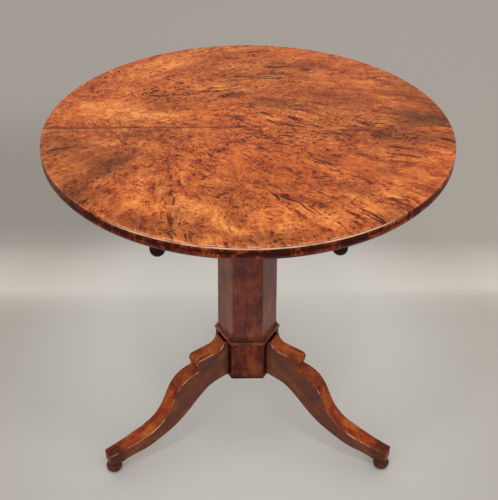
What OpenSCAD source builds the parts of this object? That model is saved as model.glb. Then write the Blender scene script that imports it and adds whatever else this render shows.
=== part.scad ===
// Tilt-top tripod table: a round veneered top on a six-sided column
// with three stepped S-shaped legs on turned bun feet.
// The origin lies on the floor under the middle of the column; Z points up,
// and the front of the table, with the two bolt knobs, faces -Y.

/* [Table] */
// Height of the table from floor to top surface
table_h = 743; // [650:1:850]
// Diameter of the round top
top_d = 758; // [720:2:950]

/* [Top] */
// Thickness of the whole top
top_t = 28; // [22:1:36]
// Thickness of the sawn veneer leaves on the face
leaf_t = 2.5; // [1.5:0.5:4]
// Thickness of the veneer band round the edge
band_t = 2; // [1:0.5:4]
// Width of the bevel under the edge
bevel_w = 5.5; // [2:0.5:9]
// Height of the bevel under the edge
bevel_h = 8; // [3:0.5:12]

/* [Column] */
// Width of the six-sided shaft across its corners at the top
shaft_w_top = 117; // [100:1:122]
// Width of the shaft across its corners at the foot
shaft_w_foot = 126; // [122:1:130]
// Diameter of the tenon that stands in the base block
foot_tenon_d = 36; // [24:1:44]
// Length of the tenon in the base block
foot_tenon_l = 45; // [25:1:60]
// Diameter of the tenon that goes up through the head block
head_tenon_d = 40; // [28:1:60]

/* [Collar] */
// Width of the collar moulding across its corners
collar_w = 141; // [138:1:160]
// Height of the collar moulding
collar_h = 17; // [14:1:26]
// Height of the half-round bead along the collar's foot
bead_h = 9; // [6:0.5:11]
// How far the bead stands out from the hollow above it
bead_out = 2.5; // [1.5:0.25:3.5]
// Width of the collar's top edge
collar_edge = 1; // [0.5:0.25:1.5]

/* [Base block] */
// Width of the block across its corners
block_w = 136; // [132:1:138]
// Height of the block
block_h = 91; // [80:0.5:110]
// Height of the underside of the cap above the floor
cap_z = 159; // [150:0.5:175]
// Thickness of the cap plate under the block
cap_t = 5; // [3:0.5:10]
// Bevel round both edges of the cap plate
cap_edge = 1; // [0.5:0.25:1.5]
// Distance of the cap screws from the middle
cap_screw_out = 40; // [34:1:48]
// Length of the cap screws
cap_screw_l = 30; // [16:1:36]

/* [Legs] */
// Thickness of the board that each leg is sawn from
leg_t = 36; // [28:1:44]
// Distance from the middle of the column to the middle of a foot
foot_reach = 335; // [325:1:400]
// How far the toe stands out past the middle of its foot
toe_over = 13; // [12:0.5:20]
// Height of the toe's upper edge above the floor
toe_h = 54; // [48:1:62]
// Thickness of the leg at the end of the toe
toe_t = 28; // [24:1:36]
// Length over which the leg narrows towards the end of the toe
toe_taper = 78; // [40:2:100]
// Radius of the toe's two upright corners
toe_corner_r = 4; // [2:0.5:6]
// How far the shoulder stands out from the block's face
shoulder_l = 76; // [60:1:90]
// Drop from the block's top to the crown of the shoulder
shoulder_drop = 25; // [22:1:34]
// Ledge between the block's face and the hollow
cove_out = 10; // [6:1:14]
// Radius of the hollow between collar and shoulder
cove_r = 20; // [12:1:21]
// Radius of the rounded nose of the shoulder
nose_r = 11; // [7:1:14]
// Height of the step under the nose, from the crown down
step_h = 30; // [24:1:36]
// How far the step lies behind the tip of the nose
step_in = 4; // [2:1:8]
// Length of the handle that bends the upper edge below the step
step_pull = 38; // [24:1:44]
// Slope of the upper edge just below the step
step_angle = 11; // [4:1:20]
// Distance from the block's face to the steepest part of the upper edge
shin_out = 138; // [124:1:146]
// Height of the steepest part of the upper edge above the floor
shin_h = 138; // [126:1:150]
// Slope of the upper edge at its steepest
shin_angle = 67; // [58:1:72]
// Length of the handles at the steepest part of the upper edge
shin_pull = 43; // [32:1:48]
// Distance from the block's face to the instep
instep_out = 197; // [188:1:206]
// Height of the instep above the floor
instep_h = 76; // [70:1:84]
// Slope of the upper edge at the instep
instep_angle = 22; // [16:1:28]
// Length of the handles at the instep
instep_pull = 26; // [18:1:32]
// Length of the handle that bends the upper edge before the end of the toe
toe_pull = 22; // [14:1:30]
// Slope of the upper edge at the end of the toe
toe_angle = 2; // [0:1:8]
// Height of the leg's lower edge at the block, above the underside of the cap
root_rise = 2.5; // [1:0.5:6]
// Length of the handle that bends the lower edge at the block
root_pull = 34; // [24:1:42]
// Slope of the lower edge at the block
root_angle = 14; // [6:1:20]
// Distance from the block's face to the steepest part of the lower edge
calf_out = 86; // [78:1:94]
// Height of the steepest part of the lower edge above the floor
calf_h = 113; // [104:1:122]
// Slope of the lower edge at its steepest
calf_angle = 47; // [42:1:52]
// Length of the handles at the steepest part of the lower edge
calf_pull = 66; // [50:1:70]
// Distance from the block's face to the low end of the lower sweep
arch_out = 184; // [176:1:192]
// Height of the low end of the lower sweep above the floor
arch_h = 47; // [42:1:52]
// Slope of the lower edge at the low end of its sweep
arch_angle = 26; // [20:1:30]
// Length of the handles at the low end of the lower sweep
arch_pull = 28; // [20:1:34]
// Length of the handle that bends the lower edge behind the toe's flat
pad_pull = 24; // [14:1:30]
// Slope of the lower edge where it meets the toe's flat
pad_angle = 28; // [16:1:32]
// Length of the flat under the toe behind the foot
pad_lead = 4; // [0:1:8]
// Radius of the lower edge of the toe
toe_edge_r = 3; // [1:0.5:6]

/* [Leg dowels] */
// Diameter of the dowels between leg and block
dowel_d = 10; // [6:1:14]
// Length of each dowel
dowel_l = 56; // [36:1:60]
// Height of the lower dowel above the block's underside
dowel_low = 20; // [12:1:30]
// Distance between the two dowels of a leg
dowel_pitch = 36; // [24:1:40]

/* [Feet] */
// Diameter of the turned bun foot
bun_d = 34; // [26:1:40]
// Height of the foot below the leg
bun_h = 28; // [25:1:32]
// Diameter of the flat under the bun
bun_flat_d = 18; // [10:1:24]
// Diameter of the neck above the ball
bun_neck_d = 17; // [14:1:20]
// Diameter of the ring that seats against the leg
seat_d = 23; // [20:1:27]
// Height of the neck and ring above the ball
seat_h = 5; // [4:0.5:7]
// Diameter of the foot's spigot in the leg
spigot_d = 12; // [8:1:16]
// Length of the spigot
spigot_l = 14; // [8:1:18]

/* [Head block] */
// Width of the head block from side to side
head_w = 370; // [340:2:400]
// Thickness of the head block
head_t = 38; // [30:1:46]
// Distance from the middle of the column to the front face
head_front = 110; // [90:1:140]
// Distance from the middle of the column back to the tilt axis
axis_back = 95; // [80:1:120]
// Radius of the lower edges of the head block
head_edge_r = 12; // [4:1:18]
// Angle above and below the tilt axis to which the rear end is rounded
head_round = 80; // [60:1:88]
// Thickness of the wedge in the head tenon at its thick end
wedge_t = 4; // [2:0.5:6]
// Length of the wedge
wedge_l = 26; // [16:1:28]

/* [Battens and tilt pins] */
// Thickness of each batten
batten_t = 26; // [20:1:34]
// Depth of each batten below the top
batten_h = 34; // [28:1:40]
// How far each batten runs forward of the tilt axis
batten_fore = 310; // [260:2:330]
// How far each batten runs behind the tilt axis
batten_aft = 60; // [40:2:80]
// Diameter of the tilt pins
pin_d = 14; // [8:1:18]
// How deep each tilt pin stands in the head block
pin_seat = 45; // [25:1:60]
// Radius of the lower corners of the battens
batten_end_r = 20; // [8:1:26]
// Distance of the end screws from the ends of the battens
screw_end = 30; // [22:1:34]
// Diameter of the batten screws
screw_d = 5; // [3:0.5:7]
// Diameter of the screw heads
screw_head_d = 10; // [8:0.5:13]
// How deep the screw heads lie in the battens
screw_sink = 9; // [4:1:14]
// How far the screws reach into the top
screw_bite = 14; // [8:1:18]

/* [Bolts] */
// Distance of each bolt from the middle between the two bolts
bolt_x = 146; // [125:1:155]
// How far that middle stands to the right of the column's axis, below zero for left
bolt_shift = -4; // [-8:0.5:8]
// Diameter of the bolt rod
rod_d = 16; // [10:1:20]
// Travel of the bolt
bolt_travel = 30; // [15:1:34]
// Gap between the drawn bolt and the head block
bolt_gap = 6; // [4:1:12]
// Distance of the drawn knob's middle behind the front of the rim
knob_in = 63; // [50:1:75]
// Length of the tapered lead at the rod's tip
rod_lead = 2; // [1:0.5:4]
// Diameter of the knob
knob_d = 26; // [22:1:30]
// Diameter of the rod's end inside the knob
knob_pin_d = 10; // [6:1:12]
// Depth of the bore in the knob
knob_seat = 12; // [8:1:14]
// Width of the guide block
guide_w = 40; // [30:1:50]
// Depth of the guide block below the top
guide_h = 34; // [30:1:40]
// Gap between the guide block and the knob when the bolt is pushed home
knob_gap = 5; // [2:0.5:10]
// Gap between the guide block and the head block
guide_gap = 22; // [14:1:30]
// Bevel along the lower edges of the guide block
guide_bevel = 6; // [2:1:8]
// Diameter of the stop peg in the rod
peg_d = 5; // [3:0.5:7]
// Distance from the rod's tip to the stop peg
peg_back = 70; // [50:1:90]

/* [Fits] */
// Side clearance of glued joints
glue_gap = 0.05; // [0.02:0.01:0.1]
// Side clearance of parts that turn or slide
run_gap = 0.1; // [0.05:0.01:0.2]
// Side clearance of a bolt in its socket and of its peg in the slot
socket_gap = 0.3; // [0.2:0.05:0.5]
// Gap between a batten and the side of the head block
side_gap = 0.3; // [0.2:0.1:1]
// Clearance between the top and the rounded end of the head block
swing_gap = 0.3; // [0.2:0.1:1]

/* [Hidden] */
$fn = 96;

// Directions of the legs, counted from +X
LEFT = 210;
RIGHT = 330;
REAR = 90;

// Distance from the middle to a face of a hexagon given across its corners
function flat(across) = across / 2 * cos(30);

// Heights, from the top down
under_z = table_h - top_t;
core_top = table_h - leaf_t;
head_z = under_z - head_t;
axis_z = under_z - head_t / 2;
rod_z = axis_z;

// Heights, from the floor up
block_z = cap_z + cap_t;
block_top = block_z + block_h;

block_face = flat(block_w);
batten_x = head_w / 2 + side_gap;
head_end_r = head_t / 2 - swing_gap;

// Places along a bolt, front to back
rod_tip = -head_front - bolt_gap;
knob_y = knob_in - top_d / 2;
knob_back = sqrt(knob_d * knob_d - rod_d * rod_d) / 2;
guide_back = -head_front - guide_gap;
guide_front = knob_y + knob_back + bolt_travel + knob_gap;
peg_y = rod_tip - peg_back;

// Where a bolt stands: side is -1 for the left one and 1 for the right one
function bolt_at(side) = side * bolt_x + bolt_shift;

// Long enough to cut through anything on the table
far = 1000;

// A point on a smooth curve between two ends, pulled by two handles
function sweep_at(a, b, c, d, t) =
  a * pow(1 - t, 3) + b * 3 * t * pow(1 - t, 2) + c * 3 * t * t * (1 - t) + d * pow(t, 3);
// The curve from a to d without its first point
function sweep(a, b, c, d, n = 14) = [for (i = [1:n]) sweep_at(a, b, c, d, i / n)];
// An arc about a centre from one angle to another
function arc(c, r, from, to, n = 8) =
  [for (i = [0:n]) let (t = from + (to - from) * i / n) c + r * [cos(t), sin(t)]];

// A six-sided solid whose faces all follow one outline of [distance, height] points
module six_sided(outline) {
  n = len(outline);
  mirrored = [for (i = [n - 1:-1:0]) [-outline[i][0], outline[i][1]]];
  intersection_for (turn = [30, 90, 150])
    rotate([90, 0, turn])
      linear_extrude(height = 2 * far, center = true)
        polygon(concat(outline, mirrored));
}

// Top

// The core of the top, with pockets for the batten screws
module top_core() {
  edge_r = top_d / 2 - band_t;
  color("#6b4a2c")
    difference() {
      translate([0, 0, under_z])
        rotate_extrude()
          polygon([
            [0, 0],
            [edge_r - bevel_w, 0],
            [edge_r, bevel_h],
            [edge_r, core_top - under_z],
            [0, core_top - under_z]
          ]);
      batten_screw_set(glue_gap);
    }
}

// Half of the veneered face, with a rounded outer edge
module veneer_leaf(turn) {
  rotate([0, 0, turn])
    translate([0, 0, core_top])
      rotate_extrude(angle = 180)
        polygon(concat(
          [[0, 0], [top_d / 2, 0]],
          arc([top_d / 2 - leaf_t, 0], leaf_t, 0, 90, 6),
          [[0, leaf_t]]
        ));
}

module veneer_front() {
  color("#a8501c") veneer_leaf(180);
}

module veneer_rear() {
  color("#b0581f") veneer_leaf(0);
}

// The veneer band round the edge, bevelled below
module edge_band() {
  inner = top_d / 2 - band_t;
  color("#5b2413")
    translate([0, 0, under_z])
      rotate_extrude()
        polygon([
          [inner - bevel_w, 0],
          [top_d / 2 - bevel_w, 0],
          [top_d / 2, bevel_h],
          [top_d / 2, core_top - under_z],
          [inner, core_top - under_z],
          [inner, bevel_h]
        ]);
}

// Column

// The tapered six-sided shaft with a round tenon at each end
module column_shaft() {
  color("#6a2c16")
    difference() {
      union() {
        six_sided([
          [flat(shaft_w_foot), block_top],
          [flat(shaft_w_top), head_z]
        ]);
        translate([0, 0, block_top - foot_tenon_l])
          cylinder(d = foot_tenon_d, h = foot_tenon_l + 1);
        translate([0, 0, head_z - 1])
          cylinder(d = head_tenon_d, h = head_t + 1 - swing_gap);
      }
      wedge_shape(glue_gap);
    }
}

// The wedge that spreads the head tenon, thin end down
module wedge_shape(gap) {
  half = wedge_t / 2 + gap;
  thin = half / 3;
  top = under_z - swing_gap + gap;
  rotate([90, 0, 90])
    linear_extrude(height = head_tenon_d * 2 / 3 + 2 * gap, center = true)
      polygon([
        [-thin, top - wedge_l - 2 * gap],
        [thin, top - wedge_l - 2 * gap],
        [half, top],
        [-half, top]
      ]);
}

module head_wedge() {
  color("#8a5a33") wedge_shape(0);
}

// The mitred collar round the foot of the shaft: a half-round bead below a hollow
module collar_moulding() {
  inner = flat(shaft_w_foot) + glue_gap;
  neck = flat(collar_w) - bead_out;
  bead_top = block_top + bead_h;
  collar_top = block_top + collar_h;
  hollow = neck - inner - collar_edge;
  color("#7c3518")
    difference() {
      six_sided(concat(
        [for (t = [-90:15:90])
          [neck + bead_out * cos(t), block_top + bead_h / 2 * (1 + sin(t))]],
        [for (t = [15:15:90])
          [neck - hollow * sin(t), collar_top - (collar_top - bead_top) * cos(t)]]
      ));
      six_sided([[inner, block_top - 1], [inner, collar_top + 1]]);
    }
}

// The block that carries the column and the legs
module base_block() {
  color("#612814")
    difference() {
      six_sided([[block_face, block_z], [block_face, block_top]]);
      translate([0, 0, block_top - foot_tenon_l - 1])
        cylinder(d = foot_tenon_d + 2 * glue_gap, h = foot_tenon_l + 2);
      for (turn = [LEFT, RIGHT, REAR])
        dowels(turn, glue_gap);
      cap_screw_set(glue_gap);
    }
}

// The thin plate under the block
module base_cap() {
  color("#54200f")
    difference() {
      six_sided([
        [block_face - cap_edge, cap_z],
        [block_face, cap_z + cap_edge],
        [block_face, block_z - cap_edge],
        [block_face - cap_edge, block_z]
      ]);
      cap_screw_set(glue_gap);
    }
}

// Screws

// A countersunk screw. Z points along it, and z = 0 is the face that it is driven into
module screw(length, sink, gap = 0) {
  head_h = (screw_head_d - screw_d) / 2;
  translate([0, 0, sink]) {
    cylinder(d = screw_d + 2 * gap, h = length - sink + gap);
    cylinder(d1 = screw_head_d + 2 * gap, d2 = screw_d + 2 * gap, h = head_h);
  }
  if (gap > 0)
    translate([0, 0, -1])
      cylinder(d = screw_head_d + 2 * gap, h = sink + 1);
}

// The screws that go up through the battens into the core
module batten_screw_set(gap = 0) {
  places = [
    axis_back - batten_fore + screw_end,
    axis_back - batten_fore / 2 + screw_end / 2,
    axis_back + batten_aft - screw_end
  ];
  for (side = [-1, 1], y = places)
    translate([side * (batten_x + batten_t / 2), y, under_z - batten_h])
      screw(batten_h + screw_bite, screw_sink, gap);
}

module batten_screws() {
  color("#b58a3c") batten_screw_set();
}

// The screws that hold the cap plate, one between each pair of legs
module cap_screw_set(gap = 0) {
  for (turn = [LEFT, RIGHT, REAR])
    rotate([0, 0, turn + 180])
      translate([cap_screw_out, 0, cap_z])
        screw(cap_screw_l, 0, gap);
}

module cap_screws() {
  color("#9a9488") cap_screw_set();
}

// Legs

// A step of the given length along a line that falls at the given slope
function fall(angle, length) = length * [cos(angle), -sin(angle)];

// The outline of a leg as [distance from the axis, height] points
function leg_outline() =
  let (
    crown = block_top - shoulder_drop,
    nose = [block_face + shoulder_l - nose_r, crown - nose_r],
    cove = [block_face + cove_out + cove_r, block_top],
    step = [block_face + shoulder_l - step_in, crown - step_h],
    shin = [block_face + shin_out, shin_h],
    instep = [block_face + instep_out, instep_h],
    toe = [foot_reach + toe_over, toe_h],
    pad = [foot_reach - toe_over - pad_lead, bun_h],
    arch = [block_face + arch_out, arch_h],
    calf = [block_face + calf_out, calf_h],
    root = [block_face, cap_z + root_rise],
    at_step = fall(step_angle, step_pull),
    at_shin = fall(shin_angle, shin_pull),
    at_instep = fall(instep_angle, instep_pull),
    at_toe = fall(toe_angle, toe_pull),
    at_pad = fall(pad_angle, pad_pull),
    at_arch = fall(arch_angle, arch_pull),
    at_calf = fall(calf_angle, calf_pull),
    at_root = fall(root_angle, root_pull)
  )
  concat(
    [root, [block_face, block_top]],
    arc(cove, cove_r, 180, 270),
    arc(nose, nose_r, 90, -20),
    [step],
    sweep(step, step + at_step, shin - at_shin, shin),
    sweep(shin, shin + at_shin, instep - at_instep, instep),
    sweep(instep, instep + at_instep, toe - at_toe, toe, 8),
    arc([toe[0] - toe_edge_r, bun_h + toe_edge_r], toe_edge_r, 0, -90, 4),
    [pad],
    sweep(pad, pad - at_pad, arch + at_arch, arch, 8),
    sweep(arch, arch - at_arch, calf + at_calf, calf),
    sweep(calf, calf - at_calf, root + at_root, root + [1, 0], 12)
  );

// The outline of a leg seen from above, lying along +X
function leg_plan() =
  let (
    tip = foot_reach + toe_over,
    half = leg_t / 2,
    toe_half = toe_t / 2,
    corner = [tip - toe_corner_r, toe_half - toe_corner_r],
    side = concat([[block_face - 1, half], [tip - toe_taper, half]],
      arc(corner, toe_corner_r, 90, 0, 6))
  )
  concat(side, [for (i = [len(side) - 1:-1:0]) [side[i][0], -side[i][1]]]);

// A leg with its bores for the dowels and the foot
module leg(turn) {
  difference() {
    intersection() {
      rotate([90, 0, turn])
        linear_extrude(height = leg_t + 2, center = true)
          polygon(leg_outline());
      rotate([0, 0, turn])
        linear_extrude(height = block_top + 1)
          polygon(leg_plan());
    }
    dowels(turn, glue_gap);
    rotate([0, 0, turn])
      translate([foot_reach, 0, bun_h - 1])
        cylinder(d = spigot_d + 2 * glue_gap, h = spigot_l + 1 + glue_gap);
  }
}

module leg_left() {
  color("#9a4720") leg(LEFT);
}

module leg_right() {
  color("#9a4720") leg(RIGHT);
}

module leg_rear() {
  color("#9a4720") leg(REAR);
}

// The two dowels between the block and a leg
module dowels(turn, gap = 0) {
  length = dowel_l + 2 * gap;
  rotate([0, 0, turn])
    for (rise = [dowel_low, dowel_low + dowel_pitch])
      translate([block_face, 0, block_z + rise])
        rotate([0, 90, 0])
          cylinder(d = dowel_d + 2 * gap, h = length, center = true);
}

module dowels_left() {
  color("#c09a63") dowels(LEFT);
}

module dowels_right() {
  color("#c09a63") dowels(RIGHT);
}

module dowels_rear() {
  color("#c09a63") dowels(REAR);
}

// A turned bun foot: a flattened ball, a neck, a seat ring and a spigot
module foot(turn) {
  low = acos(bun_flat_d / bun_d);
  high = acos(bun_neck_d / bun_d);
  ball_h = bun_h - seat_h;
  half_h = ball_h / (sin(low) + sin(high));
  middle = half_h * sin(low);
  ball = [for (t = [-low:(low + high) / 16:high + 0.01])
    [bun_d / 2 * cos(t), middle + half_h * sin(t)]];
  rotate([0, 0, turn])
    translate([foot_reach, 0, 0])
      rotate_extrude()
        polygon(concat(
          [[0, 0]],
          ball,
          [
            [seat_d / 2 - 1, bun_h - seat_h + 1],
            [seat_d / 2, bun_h - seat_h + 2],
            [seat_d / 2, bun_h],
            [spigot_d / 2, bun_h],
            [spigot_d / 2, bun_h + spigot_l - 1],
            [spigot_d / 2 - 1, bun_h + spigot_l],
            [0, bun_h + spigot_l]
          ]
        ));
}

module foot_left() {
  color("#4a2414") foot(LEFT);
}

module foot_right() {
  color("#4a2414") foot(RIGHT);
}

module foot_rear() {
  color("#4a2414") foot(REAR);
}

// Tilting head

// The block on the column: flat on top, its rear end rounded about the tilt axis
module head_block() {
  edge = [-head_front + head_edge_r, head_z + head_edge_r];
  color("#7d5530")
    difference() {
      rotate([90, 0, 90])
        linear_extrude(height = head_w, center = true)
          polygon(concat(
            [[-head_front, under_z]],
            arc(edge, head_edge_r, 180, 270),
            [[axis_back, head_z]],
            arc([axis_back, axis_z], head_end_r, -head_round, head_round, 16),
            [[axis_back, under_z]]
          ));
      translate([0, 0, head_z - 1])
        cylinder(d = head_tenon_d + 2 * glue_gap, h = head_t + 2);
      for (side = [-1, 1]) {
        tilt_pin(side, glue_gap);
        translate([bolt_at(side), -head_front - 1, rod_z])
          rotate([-90, 0, 0])
            cylinder(d = rod_d + 2 * socket_gap, h = bolt_travel - bolt_gap + socket_gap * 4 + 1);
      }
    }
}

// A pin that stands in the head block and carries a batten
module tilt_pin(side, gap = 0) {
  start = head_w / 2 - pin_seat;
  translate([side * (start - gap), axis_back, axis_z])
    rotate([0, side * 90, 0])
      cylinder(d = pin_d + 2 * gap, h = pin_seat + side_gap + batten_t + 2 * gap);
}

module tilt_pin_left() {
  color("#b9935c") tilt_pin(-1);
}

module tilt_pin_right() {
  color("#b9935c") tilt_pin(1);
}

// A batten screwed under the top, turning on its pin
module batten(side) {
  low = under_z - batten_h;
  front = axis_back - batten_fore;
  back = axis_back + batten_aft;
  difference() {
    translate([side * (batten_x + batten_t / 2), 0, 0])
      rotate([90, 0, 90])
        linear_extrude(height = batten_t, center = true)
          polygon(concat(
            [[front, under_z]],
            arc([front + batten_end_r, low + batten_end_r], batten_end_r, 180, 270),
            arc([back - batten_end_r, low + batten_end_r], batten_end_r, 270, 360),
            [[back, under_z]]
          ));
    tilt_pin(side, run_gap);
    batten_screw_set(run_gap);
  }
}

module batten_left() {
  color("#84592f") batten(-1);
}

module batten_right() {
  color("#84592f") batten(1);
}

// Bolts

// A guide glued under the top, bored for the rod and slotted for its stop peg
module guide(side) {
  low = under_z - guide_h;
  half = guide_w / 2;
  difference() {
    translate([bolt_at(side), guide_back, 0])
      rotate([90, 0, 0])
        linear_extrude(height = guide_back - guide_front)
          polygon([
            [-half, under_z],
            [-half, low + guide_bevel],
            [-half + guide_bevel, low],
            [half - guide_bevel, low],
            [half, low + guide_bevel],
            [half, under_z]
          ]);
    translate([bolt_at(side), guide_back + 1, rod_z])
      rotate([90, 0, 0])
        cylinder(d = rod_d + 2 * run_gap, h = guide_back - guide_front + 2);
    translate([bolt_at(side), peg_y, low - 1])
      linear_extrude(height = rod_z - low + 1)
        hull() {
          circle(d = peg_d + 2 * socket_gap);
          translate([0, bolt_travel]) circle(d = peg_d + 2 * socket_gap);
        }
  }
}

module guide_left() {
  color("#7a5230") guide(-1);
}

module guide_right() {
  color("#7a5230") guide(1);
}

// A sliding bolt: the rod, its end in the knob and its stop peg
module bolt_rod(side) {
  shoulder = knob_y + knob_back;
  color("#8d6236")
    translate([bolt_at(side), 0, rod_z]) {
      translate([0, shoulder, 0])
        rotate([-90, 0, 0]) {
          cylinder(d = rod_d, h = rod_tip - shoulder - rod_lead);
          translate([0, 0, rod_tip - shoulder - rod_lead])
            cylinder(d1 = rod_d, d2 = rod_d - rod_lead, h = rod_lead);
        }
      translate([0, shoulder + 1, 0])
        rotate([90, 0, 0])
          cylinder(d = knob_pin_d, h = knob_seat + 1 - glue_gap);
      translate([0, peg_y, under_z - guide_h + 1 - rod_z])
        cylinder(d = peg_d, h = rod_z - under_z + guide_h - 1);
    }
}

module bolt_rod_left() {
  bolt_rod(-1);
}

module bolt_rod_right() {
  bolt_rod(1);
}

// A ball knob, cut flat where the rod's shoulder meets it
module knob(side) {
  color("#2b1610")
    translate([bolt_at(side), knob_y, rod_z])
      rotate([-90, 0, 0])
        difference() {
          sphere(d = knob_d);
          translate([0, 0, knob_back])
            cylinder(d = knob_d, h = knob_d);
          translate([0, 0, knob_back - knob_seat])
            cylinder(d = knob_pin_d + 2 * glue_gap, h = knob_seat + 1);
        }
}

module knob_left() {
  knob(-1);
}

module knob_right() {
  knob(1);
}

top_core();
veneer_front();
veneer_rear();
edge_band();
column_shaft();
collar_moulding();
base_block();
base_cap();
cap_screws();
leg_left();
leg_right();
leg_rear();
dowels_left();
dowels_right();
dowels_rear();
foot_left();
foot_right();
foot_rear();
head_block();
head_wedge();
tilt_pin_left();
tilt_pin_right();
batten_left();
batten_right();
batten_screws();
guide_left();
guide_right();
bolt_rod_left();
bolt_rod_right();
knob_left();
knob_right();
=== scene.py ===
"""Looks of a round tilt-top tripod table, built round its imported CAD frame.

Every length is in metres, in the frame's own axes: +Z is up, -Y is the front
with the two bolt knobs, and the floor is at z = 0.
"""

import logging
import math
from dataclasses import dataclass
from enum import Enum
from typing import Callable, Sequence, Union

import bmesh
import bpy
from mathutils import Matrix, Vector


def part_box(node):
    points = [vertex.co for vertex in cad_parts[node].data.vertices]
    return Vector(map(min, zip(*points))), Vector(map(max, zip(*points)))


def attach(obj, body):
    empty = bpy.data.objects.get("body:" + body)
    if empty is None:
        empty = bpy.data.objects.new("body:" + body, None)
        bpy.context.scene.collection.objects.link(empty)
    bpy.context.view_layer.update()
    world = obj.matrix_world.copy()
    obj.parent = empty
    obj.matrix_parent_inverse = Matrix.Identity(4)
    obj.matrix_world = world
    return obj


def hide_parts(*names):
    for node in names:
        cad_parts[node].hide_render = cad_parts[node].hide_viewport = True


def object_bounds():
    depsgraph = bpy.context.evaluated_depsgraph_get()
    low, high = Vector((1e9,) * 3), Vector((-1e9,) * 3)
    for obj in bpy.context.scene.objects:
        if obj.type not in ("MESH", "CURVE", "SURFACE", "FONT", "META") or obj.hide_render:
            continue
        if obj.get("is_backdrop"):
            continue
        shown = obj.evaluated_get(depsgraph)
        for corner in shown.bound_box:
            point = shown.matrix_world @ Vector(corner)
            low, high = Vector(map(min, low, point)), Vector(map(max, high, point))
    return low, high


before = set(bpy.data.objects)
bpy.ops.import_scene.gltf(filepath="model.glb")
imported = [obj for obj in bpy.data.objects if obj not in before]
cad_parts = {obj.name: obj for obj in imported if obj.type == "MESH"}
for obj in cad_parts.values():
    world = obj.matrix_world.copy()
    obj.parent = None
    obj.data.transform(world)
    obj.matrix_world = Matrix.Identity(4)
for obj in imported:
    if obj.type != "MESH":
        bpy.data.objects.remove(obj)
CAD_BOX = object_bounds()
LOG = logging.getLogger("tripod_table")

MM = 0.001
Number = Union[int, float]
Colour = tuple[float, float, float, float]
Point = tuple[float, float, float]


class Leg(Enum):
    """The three legs and the way each one points, in degrees from +X."""

    LEFT = 210
    RIGHT = 330
    REAR = 90


class Grain(Enum):
    """The axis that the fibres of a piece of wood run along, by its number."""

    ALONG_X = 0
    ALONG_Y = 1
    UPRIGHT = 2

    def squeeze(self, long: float) -> Point:
        """How each axis is scaled, with long along the fibres, so that noise turns to fibres.

        Args:
            long: The scale along the fibres, where it is 1 across them.

        Returns:
            The scale of X, Y and Z.
        """
        scales = [1.0, 1.0, 1.0]
        scales[self.value] = long
        return (scales[0], scales[1], scales[2])


class Side(Enum):
    """Left and right, as seen from the front, by the sign of X."""

    LEFT = -1
    RIGHT = 1


def paint(code: str) -> Colour:
    """Turns a colour as a painter writes it into the light that it reflects.

    Args:
        code: Six hexadecimal digits: red, green and blue.

    Returns:
        The linear colour, with an alpha of 1.
    """
    shares = [int(code[i:i + 2], 16) / 255 for i in (0, 2, 4)]
    linear = [c / 12.92 if c <= 0.04045 else ((c + 0.055) / 1.055) ** 2.4 for c in shares]
    return (linear[0], linear[1], linear[2], 1.0)


class Wire:
    """The output of a node, which can be used in Python arithmetic."""

    def __init__(self, shop: "Shader", socket: bpy.types.NodeSocket) -> None:
        """Keeps the output socket and the shader that the arithmetic adds nodes to."""
        self.shop = shop
        self.socket = socket

    def maths(self, operation: str, *values: "Value") -> "Wire":
        """Adds one Math node, whose sockets take the values in their order."""
        return self.shop.node("ShaderNodeMath", {"operation": operation}, dict(enumerate(values)))

    def __add__(self, other: "Value") -> "Wire":
        """This value plus another."""
        return self.maths("ADD", self, other)

    def __radd__(self, other: "Value") -> "Wire":
        """A number plus this value."""
        return self.maths("ADD", other, self)

    def __sub__(self, other: "Value") -> "Wire":
        """This value less another."""
        return self.maths("SUBTRACT", self, other)

    def __rsub__(self, other: "Value") -> "Wire":
        """A number less this value."""
        return self.maths("SUBTRACT", other, self)

    def __mul__(self, other: "Value") -> "Wire":
        """This value times another."""
        return self.maths("MULTIPLY", self, other)

    def __rmul__(self, other: "Value") -> "Wire":
        """A number times this value."""
        return self.maths("MULTIPLY", other, self)

    def __truediv__(self, other: "Value") -> "Wire":
        """This value divided by another."""
        return self.maths("DIVIDE", self, other)

    def __rtruediv__(self, other: "Value") -> "Wire":
        """A number divided by this value."""
        return self.maths("DIVIDE", other, self)

    def __pow__(self, other: "Value") -> "Wire":
        """This value raised to a power."""
        return self.maths("POWER", self, other)

    def __rpow__(self, other: "Value") -> "Wire":
        """A number raised to this value."""
        return self.maths("POWER", other, self)

    def __abs__(self) -> "Wire":
        """The size of this value."""
        return self.maths("ABSOLUTE", self)

    def sine(self) -> "Wire":
        """The sine of this value in radians."""
        return self.maths("SINE", self)

    def whole(self) -> "Wire":
        """This value rounded down."""
        return self.maths("FLOOR", self)

    def fraction(self) -> "Wire":
        """What this value has left when it is rounded down."""
        return self.maths("FRACT", self)

    def at_least(self, other: "Value") -> "Wire":
        """The larger of this value and another."""
        return self.maths("MAXIMUM", self, other)

    def step(self, low: Number, high: Number) -> "Wire":
        """A smooth step from 0 to 1.

        Args:
            low: The value at which the result is 0.
            high: The value at which it is 1. It may be below low.

        Returns:
            The step.
        """
        first, last = (0.0, 1.0) if low < high else (1.0, 0.0)
        inputs = {"Value": self, "From Min": min(low, high), "From Max": max(low, high),
                  "To Min": first, "To Max": last}
        return self.shop.node("ShaderNodeMapRange", {"interpolation_type": "SMOOTHSTEP"}, inputs)


Value = Union[Wire, Number]


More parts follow.
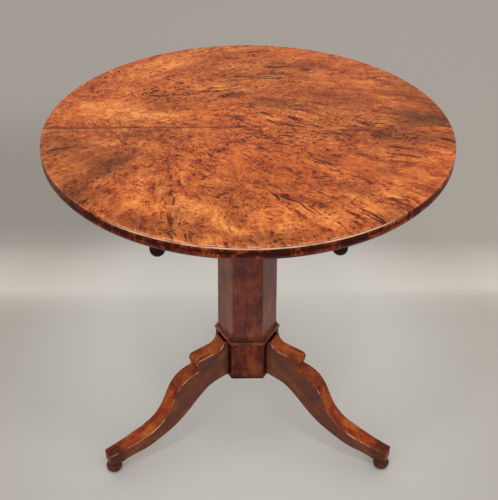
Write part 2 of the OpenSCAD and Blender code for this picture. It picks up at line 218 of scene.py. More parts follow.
class Shader:
    """The nodes of a material or of the world, with short methods for what they share."""

    def __init__(self, made: Union[bpy.types.Material, bpy.types.World]) -> None:
        """Takes a material or a world and clears its nodes.

        Args:
            made: The new material or world.
        """
        made.use_nodes = True
        self.made = made
        self.tree = made.node_tree
        self.tree.nodes.clear()

    def node(self, kind: str, settings: dict | None = None, inputs: dict | None = None,
             output: Union[int, str] = 0) -> "Wire | None":
        """Adds a node.

        Args:
            kind: The node's type.
            settings: Its properties, set first; stops are a ramp's stops.
            inputs: Values or links for its sockets, by name or number.
            output: Which output to hand back, by name or number.

        Returns:
            The output, or nothing for the node that ends the tree.
        """
        made = self.tree.nodes.new(kind)
        for key, value in (settings or {}).items():
            if key == "stops":
                self.set_stops(made.color_ramp, value)
            else:
                setattr(made, key, value)
        for key, value in (inputs or {}).items():
            if isinstance(value, Wire):
                self.tree.links.new(value.socket, made.inputs[key])
            else:
                made.inputs[key].default_value = value
        return Wire(self, made.outputs[output]) if made.outputs else None

    @staticmethod
    def set_stops(band: bpy.types.ColorRamp, stops: Sequence[tuple[float, Colour]]) -> None:
        """Writes the stops of a colour ramp.

        Args:
            band: The ramp.
            stops: A place from 0 to 1 and a colour for each stop.
        """
        while len(band.elements) < len(stops):
            band.elements.new(0.5)
        for element, (place, colour) in zip(band.elements, stops):
            element.position = place
            element.color = colour

    def place(self) -> Wire:
        """The point on the piece, in the frame's metres."""
        return self.node("ShaderNodeTexCoord", output="Object")

    def facing(self) -> Wire:
        """The way that the surface faces, one vector for each flat."""
        return self.node("ShaderNodeNewGeometry", output="True Normal")

    def mirrored(self) -> Wire:
        """Whether it is seen in a polished surface, from 0 to 1."""
        return self.node("ShaderNodeLightPath", output="Is Glossy Ray")

    def parts(self, vector: Wire) -> tuple[Wire, Wire, Wire]:
        """Splits a vector.

        Args:
            vector: The vector.

        Returns:
            Its X, Y and Z.
        """
        split = self.node("ShaderNodeSeparateXYZ", inputs={0: vector}).socket.node
        x, y, z = (Wire(self, output) for output in split.outputs)
        return x, y, z

    def vector(self, x: Value, y: Value, z: Value) -> Wire:
        """Joins three values into a vector."""
        return self.node("ShaderNodeCombineXYZ", inputs={0: x, 1: y, 2: z})

    def aim(self, operation: str, a: Wire, b: Union[Wire, Point]) -> Wire:
        """Adds a Vector Math node for two vectors."""
        return self.node("ShaderNodeVectorMath", {"operation": operation}, {0: a, 1: b})

    def length(self, vector: Wire) -> Wire:
        """How long a vector is."""
        return self.node("ShaderNodeVectorMath", {"operation": "LENGTH"}, {0: vector}, "Value")

    def turn(self, vector: Wire, angle: Value, axis: str = "Z_AXIS") -> Wire:
        """Turns a vector about an axis through the origin.

        Args:
            vector: The vector.
            angle: How far, in degrees, or in radians where it is a wire.
            axis: The axis.

        Returns:
            The turned vector.
        """
        amount = angle if isinstance(angle, Wire) else math.radians(angle)
        inputs = {"Vector": vector, "Angle": amount}
        return self.node("ShaderNodeVectorRotate", {"rotation_type": axis}, inputs)

    def noise(self, vector: Wire, scale: Number, detail: Number = 2, roughness: Number = 0.5,
              distortion: Number = 0) -> Wire:
        """Cloudy noise from 0 to 1, mostly near 0.5.

        Args:
            vector: Where on the piece.
            scale: Clouds in a metre.
            detail: Layers of finer clouds.
            roughness: How strong the finer layers are.
            distortion: How far the clouds are drawn into one another.

        Returns:
            The noise.
        """
        inputs = {"Vector": vector, "Scale": scale, "Detail": detail,
                  "Roughness": roughness, "Distortion": distortion}
        return self.node("ShaderNodeTexNoise", inputs=inputs)

    def drift(self, vector: Wire, scale: Number, reach: Number, detail: Number = 2) -> Wire:
        """Moves points about by soft noise, so that straight figure wanders.

        Args:
            vector: The points.
            scale: Wanderings in a metre.
            reach: How far a point moves, in metres.
            detail: Layers of finer wandering.

        Returns:
            The moved points.
        """
        inputs = {"Vector": vector, "Scale": scale, "Detail": detail}
        cloud = self.node("ShaderNodeTexNoise", inputs=inputs, output="Color")
        centred = self.aim("SUBTRACT", cloud, (0.5, 0.5, 0.5))
        return self.aim("ADD", vector, self.stretch(centred, (2 * reach,) * 3))

    def stretch(self, vector: Wire, factors: Point) -> Wire:
        """Scales a vector along each axis."""
        return self.aim("MULTIPLY", vector, factors)

    def mix(self, share: Value, a: Union[Wire, str], b: Union[Wire, str],
            blend: str = "MIX") -> Wire:
        """Mixes two colours, which are sockets 6 and 7 of a Mix node and its output 2.

        Args:
            share: 0 for the first, 1 for the second.
            a: The first colour.
            b: The second colour.
            blend: How the second is laid on the first.

        Returns:
            The mixed colour.
        """
        first, second = (paint(c) if isinstance(c, str) else c for c in (a, b))
        settings = {"data_type": "RGBA", "blend_type": blend}
        return self.node("ShaderNodeMix", settings, {0: share, 6: first, 7: second}, output=2)

    def ramp(self, value: Wire, stops: Sequence[tuple[float, str]]) -> Wire:
        """Turns a value from 0 to 1 into a colour, by stops of a place and a colour code."""
        colours = [(place, paint(code)) for place, code in stops]
        return self.node("ShaderNodeValToRGB", {"stops": colours}, {0: value})

    def bump(self, height: Wire, depth: Number) -> Wire:
        """Relief, in which a height of 1 stands for the depth in metres."""
        return self.node("ShaderNodeBump", inputs={"Distance": depth, "Height": height})

    def surface(self, colour: Wire, roughness: Value, normal: Wire,
                **sockets: Value) -> bpy.types.Material:
        """Ends the material in a Principled surface.

        Args:
            colour: Its base colour.
            roughness: Its roughness.
            normal: Its relief.
            sockets: Further sockets, by name with _ for a space.

        Returns:
            The material.
        """
        inputs = {"Base Color": colour, "Roughness": roughness, "Normal": normal}
        inputs.update({key.replace("_", " "): value for key, value in sockets.items()})
        skin = self.node("ShaderNodeBsdfPrincipled", inputs=inputs)
        self.node("ShaderNodeOutputMaterial", inputs={"Surface": skin})
        return self.made


@dataclass(frozen=True)
class Mark:
    """One cloud in the figure of a veneer leaf, darker or lighter than the rest.

    Attributes:
        x: Where it lies, to the right of the middle.
        y: Where it lies, behind the middle.
        length: Half its length.
        width: Half its width.
        slant: The way its length runs, in degrees from +X.
        tone: How much lighter it is than the rest, or darker where negative.
    """

    x: float
    y: float
    length: float
    width: float
    slant: float
    tone: float


@dataclass(frozen=True)
class Flow:
    """The way that a leaf's fibres run: a fan that bends as it opens.

    Attributes:
        x: Where the fan starts, to the right of the middle.
        y: Where it starts, behind the middle.
        core: Within this distance of the start the fibres have no clear direction.
        bend: How far the fan turns in a metre, in radians.
    """

    x: float
    y: float
    core: float
    bend: float


@dataclass(frozen=True)
class BurrVeneer:
    """A leaf of root and burr veneer under French polish.

    Attributes:
        name: The material's name.
        flow: The way its fibres run.
        seed: Moves the leaf to another part of the endless figure.
        curl: How much of the leaf is covered with short curls, from 0 to 1.
        marks: Its clouds.
        calm: Where it is plain, with a tone from 0 to 1, or busier, with a tone below 0.
        cracks: Its open cracks, filled with dark polish.
        rubbed_highlight: The colour of the painted highlight, with some wear, along the front
            arris.
    """

    name: str
    flow: Flow
    seed: float
    curl: float
    marks: tuple[Mark, ...]
    calm: tuple[Mark, ...]
    cracks: tuple[Mark, ...] = ()
    rubbed_highlight: str = "ffd2ae"

    def material(self) -> bpy.types.Material:
        """Builds the leaf's nodes."""
        return BurrFigure(self).material()


class BurrFigure:
    """The nodes of one burr leaf."""

    def __init__(self, leaf: BurrVeneer) -> None:
        """Finds a point's place on the leaf, in its wandering figure and in its fan of fibres.

        Args:
            leaf: The leaf.
        """
        s = Shader(bpy.data.materials.new(leaf.name))
        self.leaf = leaf
        self.s = s
        self.x, self.y, _ = s.parts(s.place())
        self.level = s.vector(self.x, self.y, leaf.seed)
        self.soft = s.drift(self.level, 5.5, 0.034, 3)
        self.spot = s.drift(self.soft, 30, 0.0065, 3)
        flow = leaf.flow
        arm = s.aim("SUBTRACT", self.spot, (flow.x, flow.y, leaf.seed))
        length = s.length(arm)
        self.reach = (length * length + flow.core * flow.core) ** 0.5
        across_x, across_y, _ = s.parts(s.turn(arm, self.reach * flow.bend))
        self.ray = (across_x / self.reach, across_y / self.reach)
        self.fibres = self.streaks(58, 22, 4, 7.0)
        self.flecks = s.noise(self.spot, 180, 3, 0.65, 0.4)

    def streaks(self, across: Number, along: Number, detail: Number, seed: Number) -> Wire:
        """Noise drawn out along the fibres.

        Args:
            across: How fine it is across the fan of fibres.
            along: How fine it is along them.
            detail: Layers of finer noise.
            seed: Moves it along, away from the other streaks.

        Returns:
            The noise, from 0 to 1.
        """
        x, y = self.ray
        point = self.s.vector(x * across, y * across, self.reach * along + seed)
        return self.s.noise(point, 1.0, detail, 0.62, 0.5)

    def cloud(self, spot: Wire, mark: Mark) -> Wire:
        """The soft shape of one mark.

        Args:
            spot: The point on the leaf.
            mark: The mark.

        Returns:
            The mark's tone, fading to 0 at its rim.
        """
        moved = self.s.aim("SUBTRACT", spot, (mark.x, mark.y, 0))
        along = self.s.turn(moved, -mark.slant)
        flat = self.s.stretch(along, (1 / mark.length, 1 / mark.width, 0))
        return self.s.length(flat).step(1.25, 0.2) * mark.tone

    def tones(self) -> tuple[Wire, Value]:
        """Works out how light the wood is before its open pores.

        Returns:
            The tone, and how smoky the dark clouds make it.
        """
        s = self.s
        broad = self.streaks(6.5, 6, 3, 0.0)
        bands = self.streaks(19, 11, 4, 3.0)
        clouds = s.noise(self.spot, 9, 3, 0.55, 0.6)
        mottle = s.noise(self.spot, 46, 4, 0.62, 1.3)
        tone = 0.615 + (broad - 0.5) * 0.70 + (bands - 0.5) * 0.80 + (self.fibres - 0.5) * 0.60
        tone = tone + (clouds - 0.5) * 0.55 + (mottle - 0.5) * 0.86 + (self.flecks - 0.5) * 0.75
        smoke: Value = 0.0
        for mark in self.leaf.marks:
            cloud = self.cloud(self.soft, mark)
            tone = tone + cloud * (1.0 if mark.tone > 0 else 0.4)
            smoke = smoke - cloud if mark.tone < 0 else smoke
        return tone, smoke

    def hollows(self) -> Wire:
        """Finds the open pores: flames along the fibres, short curls and round pips.

        Returns:
            How much darker they make the wood.
        """
        s, curl = self.s, self.leaf.curl
        flames = self.streaks(38, 12, 2, 11.0).step(0.53, 0.64)
        groups = s.noise(self.soft, 9, 2, 0.5).step(0.44, 0.58)
        flames = flames * groups * self.reach.step(0.13, 0.25)
        curly = s.noise(self.level, 15, 2, 0.5).step(0.60 - curl * 0.25, 0.66 - curl * 0.2)
        ridge = abs(s.noise(self.spot, 52, 2, 0.55, 2.4) - 0.5).step(0.040, 0.012)
        curls = ridge * curly * s.noise(self.level, 70, 2).step(0.42, 0.58)
        cells = s.node("ShaderNodeTexVoronoi", inputs={"Vector": self.spot, "Scale": 92})
        pips = cells.step(0.36, 0.16) * s.noise(self.level, 22, 2, 0.5).step(0.40, 0.56)
        busy: Value = 1.0
        for mark in self.leaf.calm:
            busy = busy - self.cloud(self.soft, mark)
        return (flames * 0.64 + curls * 0.60 + pips * 0.40) * busy.at_least(0.08)

    def joint(self) -> Wire:
        """Finds the seam between the leaves, plainest to the left, and the leaf's cracks.

        Returns:
            How much of the dark filling shows, from 0 to 1.
        """
        s = self.s
        frayed = s.noise(self.level, 34, 2) * 1.6 * MM
        filled = (abs(self.y) - frayed).step(1.0 * MM, 0.1 * MM)
        filled = filled * (self.x.step(0.12, -0.08) * 0.45 + 0.25)
        for crack in self.leaf.cracks:
            filled = filled.at_least(self.cloud(s.drift(self.level, 60, 2 * MM), crack))
        return filled

    def rubbed_highlight(self) -> Wire:
        """Finds the rounded upper edge along the front, where a painted highlight with some wear
        is strongest in its middle.

        Returns:
            How strong the painted highlight and wear are, from 0 to 1.
        """
        aside, ahead, up = self.s.parts(self.s.facing())
        arris = up.step(0.30, 0.55) * up.step(0.985, 0.90) * ahead.step(-0.08, -0.30)
        sideways = aside / abs(ahead).at_least(0.1)
        lit_front = sideways.step(-0.85, -0.60) * sideways.step(0.65, 0.30)
        patchy = self.s.noise(self.level, 26, 3, 0.6).step(0.40, 0.58)
        return arris * (lit_front * 0.25 + 0.12) * patchy

    def material(self) -> bpy.types.Material:
        """Colours the figure, then fills, shades and polishes it.

        Returns:
            The material.
        """
        s = self.s
        tone, smoke = self.tones()
        colour = s.ramp(tone - self.hollows(), (
            (0.00, "521b05"),
            (0.20, "81350e"),
            (0.38, "a0481a"),
            (0.54, "b85d28"),
            (0.72, "cf7334"),
            (0.88, "e08742"),
            (1.00, "f0a056"),
        ))
        red = s.noise(self.level, 3.6, 2, 0.5).step(0.38, 0.66)
        colour = s.mix(red * 0.45, colour, "ffd0b4", "MULTIPLY")
        colour = s.mix(smoke * 2.4, colour, "aab0ac", "MULTIPLY")
        # Both sides of the seam are darker in its left half.
        shade = abs(self.y - 3 * MM).step(9 * MM, 2 * MM) * self.x.step(0.02, -0.10)
        shade = shade * s.noise(self.level, 12, 2).step(0.2, 0.5)
        colour = s.mix(shade * 0.42, colour, "6a2c14")
        joint = self.joint()
        colour = s.mix(joint, colour, "421a0e")
        # Painted highlight, with some wear, along the front arris.
        colour = s.mix(self.rubbed_highlight(), colour, self.leaf.rubbed_highlight)
        wear = s.noise(self.level, 9, 4, 0.6)
        rough = 0.17 + (wear - 0.5) * 0.14 + (self.fibres - 0.5) * 0.08
        swell = s.noise(self.level, 3.5, 1)
        relief = self.fibres * 0.5 + self.flecks * 0.2 + swell * 2.0 - joint
        return s.surface(colour, rough, s.bump(relief, 0.11 * MM), Coat_Weight=0.2,
                         Coat_Roughness=0.08, Specular_IOR_Level=0.35)


@dataclass(frozen=True)
class StraightVeneer:
    """Straight-grained wood under polish: shaft, block, mouldings and legs.

    Attributes:
        name: The material's name.
        dark: The colour of its darkest grain.
        middle: Its main colour.
        light: The colour of its palest grain.
        grain: The axis that its fibres run along.
        turn: The way that the piece points, in degrees from +X.
        slope: How steeply the fibres fall outwards, in degrees.
        gloss: Its mean roughness.
        figure: How strong its cross figure is.
        shine: How strongly it mirrors.
    """

    name: str
    dark: str
    middle: str
    light: str
    grain: Grain = Grain.UPRIGHT
    turn: float = 0.0
    slope: float = 0.0
    gloss: float = 0.24
    figure: float = 0.5
    shine: float = 0.4

    def dress(self, s: Shader, colour: Wire) -> tuple[Wire, Value]:
        """Adds painted shade and highlights, with some wear, to single faces; plain veneer has
        none of them.

        Args:
            s: The shader; not used here.
            colour: The wood's colour.

        Returns:
            The colour, and the thickness of the polish from 0 to 1.
        """
        return colour, self.shine * 0.5

    def material(self) -> bpy.types.Material:
        """Builds the wood's nodes.

        Returns:
            The material.
        """
        s = Shader(bpy.data.materials.new(self.name))
        spot = s.turn(s.turn(s.place(), -self.turn), self.slope, "Y_AXIS")
        wander = s.drift(spot, 8, 0.012, 2)
        fibre = s.stretch(wander, self.grain.squeeze(0.07))
        fibres = s.noise(fibre, 240, 4, 0.62)
        stripes = s.noise(fibre, 52, 3, 0.55, 0.4)
        mottle = s.noise(wander, 38, 4, 0.62, 1.3)
        clouds = s.noise(spot, 17, 3, 0.5)
        pores = s.noise(fibre, 520, 1, 0.4).step(0.60, 0.70)

        tone = 0.5 + (stripes - 0.5) * 1.0 + (fibres - 0.5) * 0.6
        tone = tone + (mottle - 0.5) * self.figure * 1.9 + (clouds - 0.5) * 1.3 - pores * 0.15
        colour = s.ramp(tone, (
            (0.15, self.dark),
            (0.50, self.middle),
            (0.88, self.light),
        ))
        colour, polish = self.dress(s, colour)
        rough = self.gloss + (clouds - 0.5) * 0.16 + (fibres - 0.5) * 0.10
        relief = fibres * 0.6 + mottle * 0.3 - pores * 0.5
        return s.surface(colour, rough, s.bump(relief, 0.15 * MM), Coat_Weight=polish,
                         Coat_Roughness=0.10, Specular_IOR_Level=self.shine)


@dataclass(frozen=True)
class ShaftVeneer(StraightVeneer):
    """The shaft's wood: its slanting faces have a painted sheen, paler and greyer than the front.

    Attributes:
        side_sheen: The colour of the painted sheen.
    """

    side_sheen: str = "b59a8a"

    def dress(self, s: Shader, colour: Wire) -> tuple[Wire, Value]:
        """Paints the sheen on the faces to the left and right.

        Args:
            s: The shader.
            colour: The wood's colour.

        Returns:
            The colour with its painted sheen, and the thickness of the polish from 0 to 1.
        """
        aside, _, _ = s.parts(s.facing())
        # Painted sheen on the faces to the left and right.
        sheen = abs(aside).step(0.3, 0.8) * (0.6 + s.noise(s.place(), 24, 3, 0.6) * 0.8)
        return s.mix(sheen * 0.13, colour, self.side_sheen), self.shine * 0.5


@dataclass(frozen=True)
class LegVeneer(StraightVeneer):
    """A leg's wood: polished tops, painted shade on sides and corners, painted highlights and wear
    on arrises.

    Attributes:
        side_shade: The painted shade on its two upright sides.
        rubbed_highlight: The colour of the painted highlights, with some wear, along its upper
            arrises.
        shade_colour: The colour of the painted shade in its corners and of its darker toe.
        corner: The distance from the middle of the table within which painted shade lies.
        toe: The distance beyond which the toe is darker.
    """

    side_shade: str = "5e443b"
    rubbed_highlight: str = "ffcfae"
    shade_colour: str = "1c0805"
    corner: float = 62 * MM
    toe: float = 318 * MM

    def dress(self, s: Shader, colour: Wire) -> tuple[Wire, Value]:
        """Paints shade on the sides and in the corners, paints highlights with wear on the
        arrises, darkens the toe.

        Args:
            s: The shader.
            colour: The wood's colour.

        Returns:
            The colour with its painted shade and highlights, and the thickness of the polish from
            0 to 1.
        """
        _, across, up = s.parts(s.turn(s.facing(), -self.turn))
        reach, _, _ = s.parts(s.turn(s.place(), -self.turn))
        tilt = abs(across)
        side = tilt.step(0.85, 0.97)
        # Painted shade in the corners by the block.
        dirt_and_shade = reach.step(self.corner + 6 * MM, self.corner) * (1 - side)
        # The toe is darker.
        darker_toe = reach.step(self.toe - 15 * MM, self.toe + 5 * MM) * 0.45
        # Painted highlights, with some wear, along the upper arrises.
        arris = tilt.step(0.10, 0.40) * tilt.step(0.96, 0.80) * up.step(0.05, 0.30)
        worn_and_glint = arris * s.noise(s.place(), 34, 2, 0.5).step(0.48, 0.60)
        # Painted shade on the sides, then the painted highlights, then painted shade in the
        # corners and the darker toe.
        colour = s.mix(side * 0.7, colour, self.side_shade)
        colour = s.mix(worn_and_glint * 0.9, colour, self.rubbed_highlight)
        colour = s.mix(darker_toe.at_least(dirt_and_shade * 0.9), colour, self.shade_colour)
        return colour, (1 - side) * 0.35


@dataclass(frozen=True)
class BlockVeneer(StraightVeneer):
    """The base block's wood: painted shade blackens the three faces behind the legs.

    Attributes:
        shade_colour: The colour of the painted shade.
    """

    shade_colour: str = "160604"

    def dress(self, s: Shader, colour: Wire) -> tuple[Wire, Value]:
        """Paints shade that blackens the faces that the legs stand on.

        Args:
            s: The shader.
            colour: The wood's colour.

        Returns:
            The colour with its painted shade, and the thickness of the polish from 0 to 1.
        """
        _, ahead, _ = s.parts(s.facing())
        # As ahead is the sine of a face's direction, this is the sine of three times that.
        thrice = ahead * 3 - (ahead ** 3) * 4
        # Painted shade on the three faces behind the legs.
        shaded = thrice.step(-0.3, -0.9)
        return s.mix(shaded * 0.95, colour, self.shade_colour), (1 - shaded) * 0.15


@dataclass(frozen=True)
class CollarVeneer(StraightVeneer):
    """The collar's wood: a bright bead below a hollow darkened by painted shade.

    Attributes:
        shade_colour: The colour of the painted shade.
        bead_z: The height of the upper edge of the bead.
        lip_z: The height of the collar's upper edge.
    """

    shade_colour: str = "220a05"
    bead_z: float = 0.0
    lip_z: float = 0.0

    def dress(self, s: Shader, colour: Wire) -> tuple[Wire, Value]:
        """Paints shade into the hollow between the bead and the upper edge.

        Args:
            s: The shader.
            colour: The wood's colour.

        Returns:
            The colour with its painted shade, and the thickness of the polish from 0 to 1.
        """
        _, _, height = s.parts(s.place())
        # Painted shade in the hollow above the bead.
        hollow = height.step(self.bead_z - 1 * MM, self.bead_z + 1.5 * MM)
        hollow = hollow * height.step(self.lip_z - 1 * MM, self.lip_z - 4 * MM)
        return s.mix(hollow * 0.75, colour, self.shade_colour), 0.2


@dataclass(frozen=True)
class MottledEdge:
    """The dark band round the edge of the top, in blotches of light and dark.

    Attributes:
        top_z: The height of its upper edge.
        name: The material's name.
        rubbed_highlight: The colour of the painted highlight, with some wear, along the upper
            edge.
    """

    top_z: float
    name: str = "mottled edge band"
    rubbed_highlight: str = "ffcfac"

    def material(self) -> bpy.types.Material:
        """Builds the band's nodes.

        Returns:
            The material.
        """
        s = Shader(bpy.data.materials.new(self.name))
        spot = s.place()
        flat = s.stretch(spot, (1.0, 1.0, 0.6))
        blotch = s.noise(s.drift(flat, 20, 0.012), 46, 4, 0.62, 1.4)
        broad = s.noise(flat, 9, 2, 0.5)
        streak = s.noise(s.stretch(spot, (0.35, 0.35, 1.6)), 210, 4, 0.6)
        _, _, height = s.parts(spot)
        fall = self.top_z - height
        # A dark stripe runs along the middle of the band.
        stripe = fall.step(5 * MM, 8.5 * MM) * fall.step(14 * MM, 11 * MM)
        tone = 0.38 + (blotch - 0.5) * 1.9 + (broad - 0.5) * 0.9 + (streak - 0.5) * 0.5
        tone = tone - stripe * 0.18
        colour = s.ramp(tone, (
            (0.14, "380b03"),
            (0.38, "6a240c"),
            (0.60, "a0491a"),
            (0.84, "d8782e"),
        ))
        # Painted highlight, with some wear, along the upper edge at the front.
        aside, ahead, _ = s.parts(s.facing())
        front = ahead.step(-0.30, -0.55) * aside.step(-0.66, -0.48) * aside.step(0.68, 0.50)
        rubbed_highlight = fall.step(3.6 * MM, 1.8 * MM) * front
        rubbed_highlight = rubbed_highlight * (0.45 + s.noise(spot, 24, 3, 0.6).step(0.36, 0.56) * 0.5)
        colour = s.mix(rubbed_highlight, colour, self.rubbed_highlight)
        rough = 0.22 + (broad - 0.5) * 0.15 + (streak - 0.5) * 0.10
        relief = streak * 0.5 + blotch * 0.5
        return s.surface(colour, rough, s.bump(relief, 0.12 * MM), Coat_Weight=0.1,
                         Coat_Roughness=0.08, Specular_IOR_Level=0.2)


@dataclass(frozen=True)
class TurnedWood:
    """Wood turned on a lathe, with faint rings round its axis.

    Attributes:
        name: The material's name.
        dark: The colour of its grain.
        light: The colour between the grain.
        gloss: Its mean roughness.
        grain: The axis that it was turned about.
        rings: How closely the turner's rings follow one another, in radians a metre.
    """

    name: str
    dark: str
    light: str
    gloss: float = 0.30
    grain: Grain = Grain.UPRIGHT
    rings: float = 4200.0

    def material(self) -> bpy.types.Material:
        """Builds the wood's nodes.

        Returns:
            The material.
        """
        s = Shader(bpy.data.materials.new(self.name))
        spot = s.place()
        fibres = s.noise(s.stretch(spot, self.grain.squeeze(0.12)), 420, 4, 0.6)
        blotch = s.noise(spot, 70, 3, 0.6, 0.8)
        rings = (s.parts(spot)[self.grain.value] * self.rings).sine()
        tone = 0.5 + (fibres - 0.5) * 1.3 + (blotch - 0.5) * 1.2
        colour = s.mix(tone, self.dark, self.light)
        rough = self.gloss + (blotch - 0.5) * 0.25
        relief = fibres * 0.5 + rings * 0.12
        return s.surface(colour, rough, s.bump(relief, 0.12 * MM), Coat_Weight=0.05,
                         Coat_Roughness=0.12, Specular_IOR_Level=0.2)


@dataclass(frozen=True)
class PlainTimber:
    """Unpolished working wood out of sight: stained, dull, with saw and plane marks.

    Attributes:
        name: The material's name.
        dark: The colour of its late wood.
        light: The colour of its early wood.
        grain: The axis that its fibres run along.
        board: The width of the boards that it is glued up from, or 0 for one board.
    """

    name: str
    dark: str
    light: str
    grain: Grain
    board: float = 0.0

    def material(self) -> bpy.types.Material:
        """Builds the timber's nodes.

        Returns:
            The material.
        """
        s = Shader(bpy.data.materials.new(self.name))
        spot = s.place()
        shifted = spot
        joint: Value = 0.0
        if self.board:
            x, y, _ = s.parts(spot)
            boards = (x if self.grain is Grain.ALONG_Y else y) / self.board
            row = boards.whole()
            # Each board shows another part of the tree.
            shifted = s.aim("ADD", spot, s.vector(row * 0.37, row * 0.21, row * 0.13))
            joint = abs(boards.fraction() - 0.5).step(0.494, 0.5)
        wander = s.drift(shifted, 6, 0.006, 2)
        fibre = s.stretch(wander, self.grain.squeeze(0.05))
        growth = s.noise(fibre, 60, 2, 0.5, 0.4)
        rings = abs((growth * 46.0).sine())
        fibres = s.noise(fibre, 380, 4, 0.65)
        dirt_and_shade = s.noise(spot, 7, 4, 0.6)
        tone = 0.25 + rings * 0.45 + (fibres - 0.5) * 0.8 + (dirt_and_shade - 0.5) * 0.9
        colour = s.mix(tone, self.dark, self.light)
        relief = rings * 0.35 + fibres * 0.6
        if self.board:
            colour = s.mix(joint, colour, "1c110a")
            relief = relief - joint * 2.0
        rough = 0.68 + (fibres - 0.5) * 0.25
        return s.surface(colour, rough, s.bump(relief, 0.3 * MM))


@dataclass(frozen=True)
class OldIron:
    """Dull forged iron with rust in its hollows.

    Attributes:
        name: The material's name.
    """

    name: str = "old iron"

    def material(self) -> bpy.types.Material:
        """Builds the iron's nodes.

        Returns:
            The material.
        """
        s = Shader(bpy.data.materials.new(self.name))
        spot = s.place()
        rust = s.noise(spot, 420, 4, 0.65).step(0.50, 0.66)
        scale = s.noise(spot, 1500, 3, 0.6)
        colour = s.mix(rust, "6d665c", "5a3220")
        rough = 0.42 + rust * 0.35 + (scale - 0.5) * 0.2
        return s.surface(colour, rough, s.bump(scale, 0.1 * MM), Metallic=0.8)


Finish = Union[BurrVeneer, StraightVeneer, MottledEdge, TurnedWood, PlainTimber, OldIron]


class Shelf:
    """Keeps each finish's material, so that pieces with one finish share it."""

    def __init__(self) -> None:
        """Starts with nothing made."""
        self.made: dict[str, bpy.types.Material] = {}

    def lay(self, piece: bpy.types.Object, finish: Finish) -> None:
        """Lays a finish on a piece.

        Args:
            piece: The piece.
            finish: Its finish.
        """
        if finish.name not in self.made:
            self.made[finish.name] = finish.material()
        piece.data.materials.clear()
        piece.data.materials.append(self.made[finish.name])


SHELF = Shelf()


def piece_of(name: str, mesh: bmesh.types.BMesh) -> bpy.types.Object:
    """Turns a bench mesh into a smooth-shaded piece at the frame's origin.

    Args:
        name: The piece's name.
        mesh: Its mesh, which is freed.

    Returns:
        The piece.
    """
    bmesh.ops.recalc_face_normals(mesh, faces=mesh.faces)
    for face in mesh.faces:
        face.smooth = True
    data = bpy.data.meshes.new(name)
    mesh.to_mesh(data)
    mesh.free()
    piece = bpy.data.objects.new(name, data)
    bpy.context.scene.collection.objects.link(piece)
    weigh = piece.modifiers.new("even_light", "WEIGHTED_NORMAL")
    weigh.weight = 60
    weigh.keep_sharp = False
    return piece


def longer_than(length: float) -> Callable[[bmesh.types.BMEdge], bool]:
    """Makes the test for long edges, which leaves those of bored holes and slots alone."""
    return lambda edge: edge.calc_length() > length


def lathe(name: str, outline: Sequence[tuple[float, float]], segments: int,
          start: float = 0.0, sweep: float = 360.0) -> bpy.types.Object:
    """Turns a closed outline about the upright axis.

    Args:
        name: The piece's name.
        outline: Points as distance from the axis and height, round the section.
        segments: Steps round the axis.
        start: The angle of the first section, in degrees from +X.
        sweep: How far round it goes, in degrees.

    Returns:
        The piece.
    """
    mesh = bmesh.new()
    whole = sweep >= 360.0
    rounds = segments if whole else segments + 1
    loops: list[list[bmesh.types.BMVert]] = []
    on_axis = 1e-9
    poles = {i: mesh.verts.new((0.0, 0.0, z)) for i, (r, z) in enumerate(outline) if r < on_axis}
    for k in range(rounds):
        angle = math.radians(start + sweep * k / segments)
        ring = []
        for i, (r, z) in enumerate(outline):
            at = (r * math.cos(angle), r * math.sin(angle), z)
            ring.append(poles[i] if i in poles else mesh.verts.new(at))
        loops.append(ring)
    for k in range(segments):
        near, far = loops[k], loops[(k + 1) % rounds]
        for i in range(len(outline)):
            j = (i + 1) % len(outline)
            corners = list(dict.fromkeys((near[i], near[j], far[j], far[i])))
            if len(corners) > 2:
                mesh.faces.new(corners)
    if not whole:
        mesh.faces.new(loops[0])
        mesh.faces.new(loops[-1])
    return piece_of(name, mesh)


def arc(centre: tuple[float, float], radius: float, start: float, end: float,
        steps: int) -> list[tuple[float, float]]:
    """Points along a round stretch of an outline.

    Args:
        centre: Its centre.
        radius: Its radius.
        start: Its first angle, in degrees.
        end: Its last angle.
        steps: How many steps it takes.

    Returns:
        The points.
    """
    turns = [math.radians(start + (end - start) * i / steps) for i in range(steps + 1)]
    return [(centre[0] + radius * math.cos(t), centre[1] + radius * math.sin(t)) for t in turns]


def stand_in(piece: bpy.types.Object, body: str, node: str, finish: Finish) -> None:
    """Finishes a piece and lets it take the place of a CAD node.

    Args:
        piece: The piece.
        body: The CAD body that it rides on.
        node: The node that it replaces.
        finish: Its finish.
    """
    SHELF.lay(piece, finish)
    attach(piece, body)
    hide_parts(node)
    LOG.info("%s replaces %s on %s", piece.name, node, body)


def eased(node: str, name: str, body: str, finish: Finish, radius: float, steps: int = 3,
          wanted: Callable[[bmesh.types.BMEdge], bool] = longer_than(8 * MM)) -> None:
    """Replaces a CAD node by a copy whose outer edges are eased, as hand and cloth do.

    Args:
        node: The CAD node.
        name: The new piece's name.
        body: The body that it rides on.
        finish: Its finish.
        radius: How far its edges are eased.
        steps: Facets across an eased edge.
        wanted: Tells which of its sharp edges are eased.
    """
    weld, flat, crease = 0.3 * MM, math.radians(0.3), math.radians(35)
    mesh = bmesh.new()
    mesh.from_mesh(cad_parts[node].data)
    bmesh.ops.remove_doubles(mesh, verts=mesh.verts, dist=weld)
    bmesh.ops.dissolve_limit(mesh, angle_limit=flat, verts=mesh.verts, edges=mesh.edges,
                             delimit={"NORMAL"})
    sharp = [e for e in mesh.edges
             if len(e.link_faces) == 2 and e.is_convex
             and e.calc_face_angle(0) > crease and wanted(e)]
    bmesh.ops.bevel(mesh, geom=sharp, offset=radius, offset_type="OFFSET", segments=steps,
                    profile=0.5, affect="EDGES", clamp_overlap=False)
    stand_in(piece_of(name, mesh), body, node, finish)


